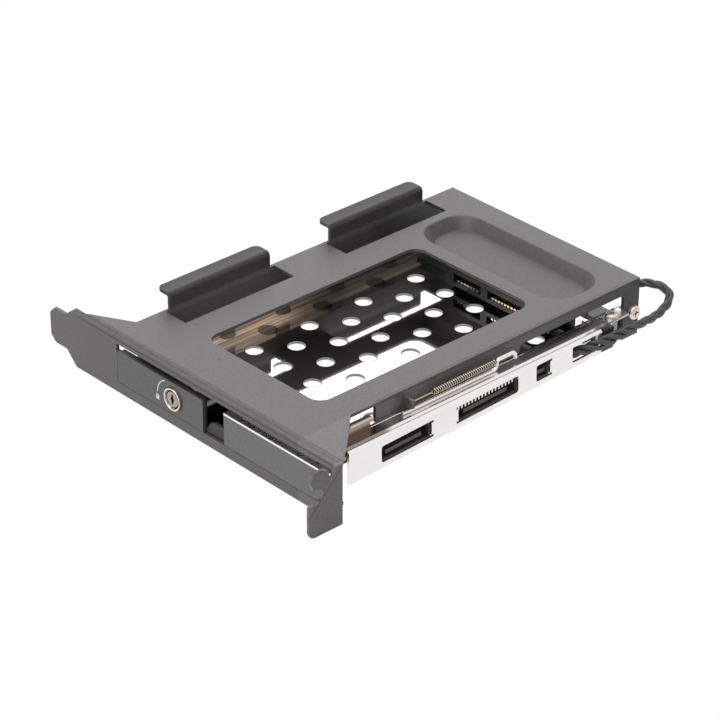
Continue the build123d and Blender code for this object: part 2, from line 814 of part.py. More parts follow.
# 20 Side board behind the ports
with BuildPart() as side_board:
    with BuildSketch(Plane.YZ.offset(tray_half)):
        with BuildLine():
            Polyline(
                (side_board_front, rail_foot + port_lift - port_edge - run_gap),
                (side_board_front, rail_under),
                (side_board_end, rail_under),
                (side_board_end, rail_foot + port_lift),
                close=True,
            )
        make_face()
    extrude(amount=side_board_thick)
side_board.part.label = "side_board"
export_step(side_board.part, "parts/side_board.step")

# 21 to 23 Ports on the side board
port_x = tray_half + side_board_thick
for name, start, length in zip(("port_front", "port_middle", "port_rear"), port_start, port_length):
    with BuildPart() as port:
        with BuildSketch(rail_plane(port_x)):
            with Locations((start + length / 2, port_centre)):
                Rectangle(length + 2 * port_edge, port_height + 2 * port_edge)
        extrude(amount=port_depth)
        with BuildSketch(rail_plane(port_x + port_depth)):
            with Locations((start + length / 2, port_centre)):
                Rectangle(length - 2 * port_wall, port_height - 2 * port_wall)
        extrude(amount=-port_socket, mode=Mode.SUBTRACT)
        # Tongue in the socket
        with BuildSketch(rail_plane(port_x + port_depth - port_socket)):
            with Locations((start + length / 2, port_centre - 2 * port_edge)):
                Rectangle(length * 0.72, port_edge * 3)
        extrude(amount=port_socket - port_edge)
    port.part.label = name
    export_step(port.part, "parts/" + name + ".step")

# 24 Contacts along the top of the middle port
with BuildPart() as port_contacts:
    with BuildSketch(rail_plane(port_x + port_depth - pin_deep)):
        with Locations((port_start[1] + port_length[1] / 2, port_lift + port_height - port_wall - pin_tall / 2)):
            with GridLocations(pin_step, 1, 17, 1):
                Rectangle(pin_wide, pin_tall)
    extrude(amount=pin_deep - run_gap)
port_contacts.part.label = "port_contacts"
export_step(port_contacts.part, "parts/port_contacts.step")

# 25 Cable boot: a plug on the side board, and a clip at the rail's end that the leads pass
with BuildPart() as cable_boot:
    with BuildSketch(Plane.XZ.offset(-plug_front)):
        with Locations((plug_x, lead_z)):
            Rectangle(plug_high, plug_high)
    extrude(amount=-(plug_rear - plug_front))
    with BuildSketch(Plane.XZ.offset(-rail_rear)):
        with Locations((rail_out - clip_wide / 2 - run_gap, (rail_under + rail_rear_foot) / 2)):
            Rectangle(clip_wide, rail_under - rail_rear_foot)
    extrude(amount=-clip_out)
cable_boot.part.label = "cable_boot"
export_step(cable_boot.part, "parts/cable_boot.step")

# 26 Header on the board
with BuildPart() as cable_header:
    with BuildSketch(Plane.XZ.offset(-header_front)):
        with Locations((header_x, (board_top + header_z + header_length / 2) / 2)):
            Rectangle(header_wide, header_z + header_length / 2 - board_top)
    extrude(amount=-header_length)
cable_header.part.label = "cable_header"
export_step(cable_header.part, "parts/cable_header.step")

# 27 Cable from the plug, out through the rail's last window, round the rear corner and in to the header
cable_points = [
    (plug_x, plug_rear, lead_z),
    (plug_x, plug_rear + lead_run, lead_z),
    (lead_x - 0.2, rail_rear - 2.4, lead_z + 1.8),
    (lead_x + 0.5, rail_rear + 11.0, lead_z + 2.9),
    (lead_x + 0.3, cover_depth + loop_rear - 6.2, lead_z + 2.6),
    (lead_x - 0.8, cover_depth + loop_rear, lead_z + loop_rise + 0.6),
    (lead_x - 5.6, cover_depth + loop_rear - 1.6, lead_z + loop_rise + 3.0),
    (header_x + 5.6, cover_depth + 2.6, header_z + 3.4),
    (header_x, header_rear + 4.6, header_z),
    (header_x, header_rear, header_z),
]
runs = [(Vector(*b) - Vector(*a)) for a, b in zip(cable_points, cable_points[1:])]
radii = []
for one, two in zip(runs, runs[1:]):
    half = radians(one.get_angle(two)) / 2
    radii.append(0.45 * min(one.length, two.length) / tan(half))
with BuildPart() as cable:
    with BuildLine() as cable_path:
        FilletPolyline(*cable_points, radius=radii)
    with BuildSketch(Plane(origin=cable_path.line @ 0, z_dir=cable_path.line % 0)):
        RegularPolygon(cable_d / 2, 8)
    sweep()
cable_length = cable_path.wires()[0].length
print("cable length", cable_length)
cable.part.label = "cable"
export_step(cable.part, "parts/cable.step")

# 28 Screws through the walls into the tray
with BuildPart() as wall_screws:
    for side, y in screw_spots:
        with BuildSketch(Plane(origin=(side * cover_half_width, y, screw_z), z_dir=(side, 0, 0))):
            Circle(screw_head_d / 2)
            RegularPolygon(screw_socket, 6, mode=Mode.SUBTRACT)
        extrude(amount=screw_head_h)
        with BuildSketch(Plane(origin=(side * (cover_half_width + screw_web), y, screw_z), z_dir=(side, 0, 0))):
            Circle(screw_d / 2)
        extrude(amount=-(screw_web + sheet + steel))
wall_screws.part.label = "wall_screws"
export_step(wall_screws.part, "parts/wall_screws.step")

# 29 Screw on the rear end of the ledge
with BuildPart() as ledge_screw:
    with BuildSketch(Plane.XY.offset(rail_top)):
        with Locations((tray_half + ledge_screw_out, rail_tongue - ledge_screw_inset)):
            Circle(screw_head_d / 2)
            RegularPolygon(screw_socket, 6, mode=Mode.SUBTRACT)
    extrude(amount=screw_head_h)
    with BuildSketch(Plane.XY.offset(rail_top)):
        with Locations((tray_half + ledge_screw_out, rail_tongue - ledge_screw_inset)):
            Circle(screw_d / 2)
    extrude(amount=screw_web)
ledge_screw.part.label = "ledge_screw"
export_step(ledge_screw.part, "parts/ledge_screw.step")
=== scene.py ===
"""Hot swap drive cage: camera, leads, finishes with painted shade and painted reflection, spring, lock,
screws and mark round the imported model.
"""
from math import cos, pi, radians, sin

import bmesh
import bpy
from mathutils import Matrix, Vector


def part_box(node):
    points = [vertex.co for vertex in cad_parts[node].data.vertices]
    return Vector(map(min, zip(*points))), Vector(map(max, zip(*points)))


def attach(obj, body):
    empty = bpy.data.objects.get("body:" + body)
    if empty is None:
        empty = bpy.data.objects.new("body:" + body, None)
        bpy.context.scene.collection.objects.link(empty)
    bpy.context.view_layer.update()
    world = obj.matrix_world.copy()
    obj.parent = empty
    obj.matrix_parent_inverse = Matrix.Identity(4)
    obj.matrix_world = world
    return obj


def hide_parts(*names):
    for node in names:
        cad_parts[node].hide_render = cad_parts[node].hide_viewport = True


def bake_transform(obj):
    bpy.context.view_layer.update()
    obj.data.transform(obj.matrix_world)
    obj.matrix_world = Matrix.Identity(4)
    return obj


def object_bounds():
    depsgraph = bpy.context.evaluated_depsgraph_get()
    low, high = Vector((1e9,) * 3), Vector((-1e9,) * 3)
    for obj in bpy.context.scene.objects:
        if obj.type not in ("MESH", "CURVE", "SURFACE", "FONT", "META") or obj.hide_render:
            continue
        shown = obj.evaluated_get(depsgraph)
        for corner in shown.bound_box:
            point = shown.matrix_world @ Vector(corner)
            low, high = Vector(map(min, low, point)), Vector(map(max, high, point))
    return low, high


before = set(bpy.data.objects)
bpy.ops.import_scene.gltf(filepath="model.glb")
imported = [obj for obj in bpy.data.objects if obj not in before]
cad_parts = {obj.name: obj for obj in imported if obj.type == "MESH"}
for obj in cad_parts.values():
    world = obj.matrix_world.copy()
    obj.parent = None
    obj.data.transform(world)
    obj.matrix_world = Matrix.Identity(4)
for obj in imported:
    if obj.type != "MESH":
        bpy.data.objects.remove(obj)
cad_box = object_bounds()
MM = 0.001

# ---------------------------------------------------------------- camera, as in the photograph
CAMERA_TURN = radians(47.217)
CAMERA_RISE = radians(30.208)
CAMERA_ROLL = radians(0.208)
CAMERA_EYE = Vector((530.802, -434.525, 424.668)) * MM
FOCAL_PIXELS = 3012.9
IMAGE_PIXELS = 720
SENSOR_MM = 36.0


def place_camera():
    """A camera at the photograph's place, square to a frame of 720 by 720."""
    ahead = Vector((
        -sin(CAMERA_TURN) * cos(CAMERA_RISE),
        cos(CAMERA_TURN) * cos(CAMERA_RISE),
        -sin(CAMERA_RISE),
    ))
    right = Vector((cos(CAMERA_TURN), sin(CAMERA_TURN), 0.0))
    up = right.cross(ahead)
    rolled_right = right * cos(CAMERA_ROLL) + up * sin(CAMERA_ROLL)
    rolled_up = up * cos(CAMERA_ROLL) - right * sin(CAMERA_ROLL)
    camera = bpy.data.cameras.new("camera")
    camera.sensor_fit = "HORIZONTAL"
    camera.sensor_width = SENSOR_MM
    camera.lens = FOCAL_PIXELS / IMAGE_PIXELS * SENSOR_MM
    camera.clip_start = 0.01
    holder = bpy.data.objects.new("camera", camera)
    bpy.context.collection.objects.link(holder)
    turned = Matrix((rolled_right, rolled_up, -ahead)).transposed().to_4x4()
    holder.matrix_world = Matrix.Translation(CAMERA_EYE) @ turned
    bpy.context.scene.camera = holder
    bpy.context.scene.view_settings.view_transform = "Standard"


place_camera()


# ---------------------------------------------------------------- steps that several pieces share
MERGE_MM = 0.002


def deselect():
    for thing in bpy.context.selected_objects:
        thing.select_set(False)


def take(thing):
    """Makes one object the only one selected, and the active one."""
    deselect()
    thing.select_set(True)
    bpy.context.view_layer.objects.active = thing


def settle(thing):
    """Puts the object's place, turn and scale into its mesh."""
    take(thing)
    bpy.ops.object.transform_apply(location=True, rotation=True, scale=True)


def face_outwards(thing):
    """Merges doubles, fills open loops and turns every face outwards."""
    take(thing)
    bpy.ops.object.mode_set(mode="EDIT")
    bpy.ops.mesh.select_all(action="SELECT")
    bpy.ops.mesh.remove_doubles(threshold=MERGE_MM * MM)
    bpy.ops.mesh.fill_holes(sides=0)
    bpy.ops.mesh.select_all(action="SELECT")
    bpy.ops.mesh.normals_make_consistent(inside=False)
    bpy.ops.object.mode_set(mode="OBJECT")


def pick_faces(thing, wanted):
    """Selects, in edit mode, the faces whose centre and normal pass a test."""
    bpy.ops.mesh.select_all(action="DESELECT")
    bpy.ops.object.mode_set(mode="OBJECT")
    for face in thing.data.polygons:
        face.select = wanted(face.center, face.normal)
    bpy.ops.object.mode_set(mode="EDIT")


def join_pieces(pieces):
    """Joins pieces into the first of them."""
    deselect()
    for piece in pieces:
        piece.select_set(True)
    bpy.context.view_layer.objects.active = pieces[0]
    bpy.ops.object.join()


def finish_piece(thing, name, body, material):
    thing.name = name
    thing.data.name = name
    thing.data.materials.clear()
    thing.data.materials.append(material)
    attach(thing, body)


# ---------------------------------------------------------------- twisted leads, on the solid's own route
CABLE_D = 2.6
STRAND_D = 1.45
STRANDS = 3
STRAND_SIDES = 10
LEAD_STEP_MM = 0.5
TWIST_MM = 12.0
SPREAD_MM = 0.5
SPREAD_RUN_MM = 26.0
LEAD_ROUTE = [
    (39.7, 96.404, 6.072),
    (39.7, 98.004, 6.072),
    (44.1, 106.8, 7.872),
    (44.8, 120.2, 8.972),
    (44.6, 130.8, 8.672),
    (43.5, 137.0, 12.272),
    (38.7, 135.4, 14.672),
    (32.1, 131.6, 13.4),
    (26.5, 120.7, 10.0),
    (26.5, 116.1, 10.0),
]


def smooth_line(route, step):
    """Points a fixed step apart on the smooth curve of a route, and its length, in metres."""
    curve = bpy.data.curves.new("route", "CURVE")
    curve.dimensions = "3D"
    curve.resolution_u = 10
    spline = curve.splines.new("NURBS")
    spline.points.add(len(route) - 1)
    for point, spot in zip(spline.points, route):
        point.co = (*(Vector(spot) * MM), 1.0)
    spline.order_u = 3
    spline.use_endpoint_u = True
    holder = bpy.data.objects.new("route", curve)
    bpy.context.collection.objects.link(holder)
    bpy.context.view_layer.update()
    mesh = bpy.data.meshes.new_from_object(holder)
    spots = [vertex.co.copy() for vertex in mesh.vertices]
    bpy.data.objects.remove(holder)
    bpy.data.curves.remove(curve)
    bpy.data.meshes.remove(mesh)
    lengths = [0.0]
    for one, two in zip(spots, spots[1:]):
        lengths.append(lengths[-1] + (two - one).length)
    count = max(2, round(lengths[-1] / step))
    even = []
    index = 0
    for i in range(count + 1):
        target = lengths[-1] * i / count
        while index < len(lengths) - 2 and lengths[index + 1] < target:
            index += 1
        span = lengths[index + 1] - lengths[index]
        share = 0.0 if span == 0 else (target - lengths[index]) / span
        even.append(spots[index].lerp(spots[index + 1], share))
    return even, lengths[-1]


def sides_along(spots):
    """Each point of a line with two directions across it, without sudden turns."""
    sets = []
    side = None
    for i, spot in enumerate(spots):
        ahead = (spots[min(i + 1, len(spots) - 1)] - spots[max(i - 1, 0)]).normalized()
        if side is None:
            side = ahead.orthogonal().normalized()
        side = (side - ahead * side.dot(ahead)).normalized()
        sets.append((spot, side.copy(), ahead.cross(side)))
    return sets


def add_strand(shape, centres, radius):
    """A closed round strand along a line."""
    rings = []
    for spot, side, other in sides_along(centres):
        ring = []
        for k in range(STRAND_SIDES):
            turn = 2 * pi * k / STRAND_SIDES
            ring.append(shape.verts.new(spot + side * cos(turn) * radius + other * sin(turn) * radius))
        rings.append(ring)
    for one, two in zip(rings, rings[1:]):
        for k in range(STRAND_SIDES):
            after = (k + 1) % STRAND_SIDES
            shape.faces.new((one[k], one[after], two[after], two[k]))
    shape.faces.new(list(reversed(rings[0])))
    shape.faces.new(rings[-1])


def smooth_mesh(shape, name):
    bmesh.ops.recalc_face_normals(shape, faces=shape.faces)
    mesh = bpy.data.meshes.new(name)
    shape.to_mesh(mesh)
    shape.free()
    for face in mesh.polygons:
        face.use_smooth = True
    return mesh


def make_leads():
    """Three strands twisted round the route, from the plug behind the rail to the header at the rear."""
    line, length = smooth_line(LEAD_ROUTE, LEAD_STEP_MM * MM)
    shape = bmesh.new()
    offset = (CABLE_D - STRAND_D) / 2 * MM
    for strand in range(STRANDS):
        path = []
        for i, (spot, side, other) in enumerate(sides_along(line)):
            turn = 2 * pi * (strand / STRANDS + i * LEAD_STEP_MM / TWIST_MM)
            run = min(1.0, i * LEAD_STEP_MM / SPREAD_RUN_MM)
            out = offset + SPREAD_MM * MM * sin(pi * run)
            path.append(spot + side * cos(turn) * out + other * sin(turn) * out)
        add_strand(shape, path, STRAND_D / 2 * MM)
    leads = bpy.data.objects.new("twisted_leads", smooth_mesh(shape, "twisted_leads"))
    bpy.context.collection.objects.link(leads)
    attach(leads, "cage")
    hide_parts("cable")
    return leads


leads = make_leads()


# ---------------------------------------------------------------- effects that several finishes share
NOISE_SPAN = (0.3, 0.7)
SPECK_SPAN = (0.74, 1.26)
DRIFT_SPAN = (0.95, 1.05)
LINE_SPAN = (0.8, 1.25)
GRAIN_DEEP_MM = 0.2
WAVE_DEEP_MM = 0.4
LINE_DEEP_MM = 0.02
CLOUD_SCALE = 45.0
LINE_SCALE = 1300.0
LINE_SQUEEZE = 0.03
WAVE_SCALE = 28.0


def group_socket(group, label, kind, way, value=None):
    socket = group.interface.new_socket(name=label, in_out=way, socket_type="NodeSocket" + kind)
    if value is not None:
        socket.default_value = value


def start_group(name):
    group = bpy.data.node_groups.new(name, "ShaderNodeTree")
    return group, group.nodes.new("NodeGroupInput"), group.nodes.new("NodeGroupOutput")


def remap(nodes, links, value, low, high, new_low, new_high):
    """A value moved from one range to another and held at its ends."""
    node = nodes.new("ShaderNodeMapRange")
    node.inputs["From Min"].default_value = low
    node.inputs["From Max"].default_value = high
    node.inputs["To Min"].default_value = new_low
    node.inputs["To Max"].default_value = new_high
    links.new(value, node.inputs["Value"])
    return node.outputs["Result"]


def combine(nodes, links, operation, one, two):
    """A Math node on two outputs."""
    node = nodes.new("ShaderNodeMath")
    node.operation = operation
    links.new(one, node.inputs[0])
    links.new(two, node.inputs[1])
    return node.outputs["Value"]


def vector_step(nodes, links, operation, value, *fixed):
    """A Vector Math node on one output and fixed vectors."""
    node = nodes.new("ShaderNodeVectorMath")
    node.operation = operation
    links.new(value, node.inputs[0])
    for index, vector in enumerate(fixed, 1):
        node.inputs[index].default_value = vector
    return node


def scaled(nodes, links, colour, factor):
    """A colour made lighter or darker by a factor."""
    node = vector_step(nodes, links, "SCALE", colour)
    links.new(factor, node.inputs["Scale"])
    return node.outputs["Vector"]


def squeezed(nodes, links, place, share):
    """A place squeezed along Y, so that a noise on it runs along Y."""
    node = nodes.new("ShaderNodeMapping")
    node.inputs["Scale"].default_value = (1.0, share, 1.0)
    links.new(place, node.inputs["Vector"])
    return node.outputs["Vector"]


def add_noise(nodes, links, place, detail):
    node = nodes.new("ShaderNodeTexNoise")
    node.inputs["Detail"].default_value = detail
    links.new(place, node.inputs["Vector"])
    return node


def add_bump(nodes, links, height, strength, deep_mm):
    node = nodes.new("ShaderNodeBump")
    node.inputs["Distance"].default_value = deep_mm * MM
    links.new(strength, node.inputs["Strength"])
    links.new(height, node.inputs["Height"])
    return node


def make_powder_grain():
    """Fine pebbled coat: colour, roughness and a bumped normal."""
    group, enter, leave = start_group("powder_grain")
    group_socket(group, "Colour", "Color", "INPUT", (0.08, 0.08, 0.08, 1))
    group_socket(group, "Grain size", "Float", "INPUT", 2200.0)
    group_socket(group, "Depth", "Float", "INPUT", 0.12)
    group_socket(group, "Roughness", "Float", "INPUT", 0.5)
    group_socket(group, "Colour", "Color", "OUTPUT")
    group_socket(group, "Roughness", "Float", "OUTPUT")
    group_socket(group, "Normal", "Vector", "OUTPUT")
    nodes, links = group.nodes, group.links
    place = nodes.new("ShaderNodeTexCoord").outputs["Object"]
    grain = add_noise(nodes, links, place, 3.0)
    links.new(enter.outputs["Grain size"], grain.inputs["Scale"])
    cloud = add_noise(nodes, links, place, 2.0)
    cloud.inputs["Scale"].default_value = CLOUD_SCALE
    bump = add_bump(nodes, links, grain.outputs["Fac"], enter.outputs["Depth"], GRAIN_DEEP_MM)
    speck = remap(nodes, links, grain.outputs["Fac"], *NOISE_SPAN, *SPECK_SPAN)
    drift = remap(nodes, links, cloud.outputs["Fac"], *NOISE_SPAN, *DRIFT_SPAN)
    shade = combine(nodes, links, "MULTIPLY", speck, drift)
    rough = combine(nodes, links, "MULTIPLY", enter.outputs["Roughness"], drift)
    links.new(scaled(nodes, links, enter.outputs["Colour"], shade), leave.inputs["Colour"])
    links.new(rough, leave.inputs["Roughness"])
    links.new(bump.outputs["Normal"], leave.inputs["Normal"])
    return group


def make_rolled_steel():
    """Faint rolling lines along Y with slow unevenness: roughness and normal."""
    group, enter, leave = start_group("rolled_steel")
    group_socket(group, "Roughness", "Float", "INPUT", 0.15)
    group_socket(group, "Lines", "Float", "INPUT", 0.05)
    group_socket(group, "Waves", "Float", "INPUT", 0.05)
    group_socket(group, "Roughness", "Float", "OUTPUT")
    group_socket(group, "Normal", "Vector", "OUTPUT")
    nodes, links = group.nodes, group.links
    place = nodes.new("ShaderNodeTexCoord").outputs["Object"]
    lines = add_noise(nodes, links, squeezed(nodes, links, place, LINE_SQUEEZE), 2.0)
    lines.inputs["Scale"].default_value = LINE_SCALE
    waves = add_noise(nodes, links, place, 1.0)
    waves.inputs["Scale"].default_value = WAVE_SCALE
    slow = add_bump(nodes, links, waves.outputs["Fac"], enter.outputs["Waves"], WAVE_DEEP_MM)
    fine = add_bump(nodes, links, lines.outputs["Fac"], enter.outputs["Lines"], LINE_DEEP_MM)
    links.new(slow.outputs["Normal"], fine.inputs["Normal"])
    spread = remap(nodes, links, lines.outputs["Fac"], *NOISE_SPAN, *LINE_SPAN)
    rough = combine(nodes, links, "MULTIPLY", enter.outputs["Roughness"], spread)
    links.new(rough, leave.inputs["Roughness"])
    links.new(fine.outputs["Normal"], leave.inputs["Normal"])
    return group


POWDER_GRAIN = make_powder_grain()
ROLLED_STEEL = make_rolled_steel()


# ---------------------------------------------------------------- finishes, with painted shade on the cover and painted reflection and shade on the tray
def plain_material(name):
    material = bpy.data.materials.new(name)
    material.use_nodes = True
    tree = material.node_tree
    return material, tree.nodes, tree.links, tree.nodes["Principled BSDF"]


def coated(name, colour, roughness, grain, depth):
    """Powder coat or moulded plastic."""
    material, nodes, links, shader = plain_material(name)
    effect = nodes.new("ShaderNodeGroup")
    effect.node_tree = POWDER_GRAIN
    effect.inputs["Colour"].default_value = (*colour, 1)
    effect.inputs["Grain size"].default_value = grain
    effect.inputs["Depth"].default_value = depth
    effect.inputs["Roughness"].default_value = roughness
    links.new(effect.outputs["Roughness"], shader.inputs["Roughness"])
    links.new(effect.outputs["Normal"], shader.inputs["Normal"])
    links.new(effect.outputs["Colour"], shader.inputs["Base Color"])
    return material


def steel(name, colour, roughness, lines, waves):
    """Bare or plated metal with faint rolling lines."""
    material, nodes, links, shader = plain_material(name)
    shader.inputs["Base Color"].default_value = (*colour, 1)
    shader.inputs["Metallic"].default_value = 1.0
    effect = nodes.new("ShaderNodeGroup")
    effect.node_tree = ROLLED_STEEL
    effect.inputs["Roughness"].default_value = roughness
    effect.inputs["Lines"].default_value = lines
    effect.inputs["Waves"].default_value = waves
    links.new(effect.outputs["Roughness"], shader.inputs["Roughness"])
    links.new(effect.outputs["Normal"], shader.inputs["Normal"])
    return material


def object_axes(nodes, links):
    """Object coordinates, whole and as separate X, Y and Z."""
    place = nodes.new("ShaderNodeTexCoord")
    apart = nodes.new("ShaderNodeSeparateXYZ")
    links.new(place.outputs["Object"], apart.inputs[0])
    return place.outputs["Object"], apart.outputs["X"], apart.outputs["Y"], apart.outputs["Z"]


def times(nodes, links, *shades):
    """The product of two or more shades or masks."""
    product = shades[0]
    for shade in shades[1:]:
        product = combine(nodes, links, "MULTIPLY", product, shade)
    return product


def ranged(nodes, links, value, low, high, new_low, new_high):
    """A place moved from one range, in millimetres, to a range of shades."""
    return remap(nodes, links, value, low * MM, high * MM, new_low, new_high)


def by_mask(nodes, links, mask, off, on):
    """One value where a mask is 0 and another where it is 1."""
    return remap(nodes, links, mask, 0.0, 1.0, off, on)


def painted_fold_shade(nodes, links, spot, across, offset, half_width, dark):
    """A thin line of painted shade along a fold, at a distance along a direction across it."""
    along = vector_step(nodes, links, "DOT_PRODUCT", spot, across)
    away = nodes.new("ShaderNodeMath")
    away.operation = "ADD"
    links.new(along.outputs["Value"], away.inputs[0])
    away.inputs[1].default_value = offset * MM
    size = nodes.new("ShaderNodeMath")
    size.operation = "ABSOLUTE"
    links.new(away.outputs["Value"], size.inputs[0])
    return ranged(nodes, links, size.outputs["Value"], 0.0, half_width, dark, 1.0)


def kept(nodes, links, shade, mask):
    """A shade that only darkens, held at full brightness where a mask is 1."""
    return combine(nodes, links, "MAXIMUM", shade, mask)


def faded(nodes, links, shade, mask):
    """A shade where a mask is 1, and full brightness where it is 0."""
    node = nodes.new("ShaderNodeMix")
    node.inputs["A"].default_value = 1.0
    links.new(mask, node.inputs["Factor"])
    links.new(shade, node.inputs["B"])
    return node.outputs["Result"]


# painted shade: thin dark lines along the front fold and along the fold above the right wall
FRONT_FOLD_SHADE = {"across": (0, 1, -1), "offset": 16.75, "half_width": 0.34, "dark": 0.16}
SIDE_FOLD_SHADE = {"across": (-1, 0, -1), "offset": 55.55, "half_width": 0.5, "dark": 0.35}
# painted shade: centres of darker spots at the two pressed dimples in the top plate
DIMPLE_SHADE_CENTRES = ((-26.1, 19.4, 18.4), (-7.2, 12.0, 18.4))
# painted shade in the dish and, darker, on its slope
DISH_SHADE = 0.82
SLOPE_SHADE = 0.76

# where each painted shade, painted light or mask changes, from and to in millimetres, and its value before
# and after
COVER_SPANS = {
    "tongue": (-54.0, -48.0, 1.0, 0.0),
    "before_right_wall": (26.6, 27.4, 1.0, 0.0),
    "tab_lips": (-43.5, -38.8, 0.45, 1.0),
    "up_to_plate": (18.5, 19.2, 1.0, 0.0),
    "tabs": (18.5, 19.4, 1.0, 0.66),
    "tab_gloss": (18.5, 19.2, 0.5, 0.22),
    "left_wall_inside": (16.9, 17.4, 0.6, 1.0),
    "right_of_left_wall": (-37.0, -36.6, 0.0, 1.0),
    "bracket_face": (1.5, 2.0, 1.0, 0.0),
    "right_wall": (55.0, 122.0, 1.35, 0.72),
    "on_right_wall": (37.70, 37.78, 0.0, 1.0),
    "under_plate": (15.6, 18.3, 1.0, 0.0),
    "rear_half": (94.0, 98.0, 0.0, 1.0),
    "inside_right_wall": (36.3, 36.7, 1.0, 0.0),
    "above_dish_floor": (15.5, 15.9, 0.0, 1.0),
    "under_dish_rim": (17.9, 18.3, 1.0, 0.0),
    "plate_to_rear": (50.0, 118.0, 1.0, 0.88),
    "dimple": (0.3, 0.8, 0.6, 1.0),
}


def make_cover_coat_with_painted_light_and_shade():
    """The cover's coat with painted shade: dark lines along the folds, darker spots at the two pressed
    dimples, shade in the dish and on its slope, on the tabs, inside the left wall and towards the rear;
    and painted light and shade on the right wall, lighter at the front and darker at the rear.
    """
    material = coated("black_powder_coat_painted_light_and_shade", (0.082, 0.076, 0.075), 0.44, 2000.0, 0.2)
    nodes, links = material.node_tree.nodes, material.node_tree.links
    shader = nodes["Principled BSDF"]
    coat = shader.inputs["Base Color"].links[0].from_socket
    spot, x, y, z = object_axes(nodes, links)

    def span(value, name):
        return ranged(nodes, links, value, *COVER_SPANS[name])

    # painted shade along the front fold, left off the tongue, and along the side fold from the front of
    # the right wall back
    front = kept(nodes, links, painted_fold_shade(nodes, links, spot, **FRONT_FOLD_SHADE), span(x, "tongue"))
    side = kept(nodes, links, painted_fold_shade(nodes, links, spot, **SIDE_FOLD_SHADE), span(y, "before_right_wall"))
    # painted shade on the tabs above the plate: their lips darker towards the outer edge, and the tabs
    # darker overall through the tabs span below
    lips = kept(nodes, links, span(x, "tab_lips"), span(z, "up_to_plate"))
    # painted shade on the inside of the left wall, below the plate and behind the bracket face
    inside = kept(nodes, links, span(z, "left_wall_inside"), span(x, "right_of_left_wall"))
    inside = kept(nodes, links, inside, span(y, "bracket_face"))
    # painted light and shade on the right wall: lighter towards the front and darker towards the rear
    wall = faded(nodes, links, span(y, "right_wall"), span(x, "on_right_wall"))
    # painted shade in the dish and on its slope, at the rear inside the right wall
    in_dish = times(nodes, links, span(y, "rear_half"), span(x, "inside_right_wall"))
    dish = times(nodes, links, span(z, "under_plate"), in_dish)
    slope = times(nodes, links, span(z, "above_dish_floor"), span(z, "under_dish_rim"), in_dish)
    shade = times(
        nodes, links, front, side, lips, span(z, "tabs"), inside, wall,
        by_mask(nodes, links, dish, 1.0, DISH_SHADE),
        by_mask(nodes, links, slope, 1.0, SLOPE_SHADE),
        # painted shade: the cover darker towards the rear
        span(y, "plate_to_rear"),
    )
    # painted shade: darker spots round the pressed dimples
    for dimple in DIMPLE_SHADE_CENTRES:
        away = vector_step(nodes, links, "DISTANCE", spot, Vector(dimple) * MM)
        shade = times(nodes, links, shade, span(away.outputs["Value"], "dimple"))
    links.new(scaled(nodes, links, coat, shade), shader.inputs["Base Color"])
    links.new(span(z, "tab_gloss"), shader.inputs["Specular IOR Level"])
    return material


HOLE_D = 5.2
HOLE_STEP = (12.2, 20.8)
HOLE_STARTS = ((-24.4, 39.0), (-18.3, 28.6))
MIRROR_COLOUR = (0.80, 0.78, 0.76)
# painted reflection: warm dark and pale bands laid into the colour of the tray's left bend
PAINTED_REFLECTION_DARK = (0.38, (0.34, 0.25, 0.18, 1))
PAINTED_REFLECTION_PALE = (0.60, (1.0, 0.80, 0.64, 1))
PAINTED_REFLECTION_SQUEEZE = 0.02
PAINTED_REFLECTION_SCALE = 900.0
TRAY_SPANS = {
    "left_bend": (-31.5, -29.0, 1.0, 0.0),
    # painted shade in the tray's mouth, at the front
    "mouth_shade": (25.0, 31.0, 0.05, 1.0),
    "painted_reflection_to_rear": (58.0, 78.0, 1.0, 0.10),
    # painted shade: a thin darker ring round each hole
    "hole_rim_shade": (HOLE_D / 2 + 0.20, HOLE_D / 2 + 0.32, 0.30, 1.0),
}


def hole_distance(nodes, links, spot):
    """Distance to the middle of the nearest of the tray's staggered holes."""
    half = Vector((HOLE_STEP[0] / 2 * MM, HOLE_STEP[1] / 2 * MM, 1))
    results = []
    for start in HOLE_STARTS:
        first = (start[0] * MM, start[1] * MM, 0)
        moved = vector_step(nodes, links, "SUBTRACT", spot, first)
        wrapped = vector_step(nodes, links, "WRAP", moved.outputs["Vector"], half, -half)
        level = vector_step(nodes, links, "MULTIPLY", wrapped.outputs["Vector"], (1, 1, 0))
        size = vector_step(nodes, links, "LENGTH", level.outputs["Vector"])
        results.append(size.outputs["Value"])
    return combine(nodes, links, "MINIMUM", *results)


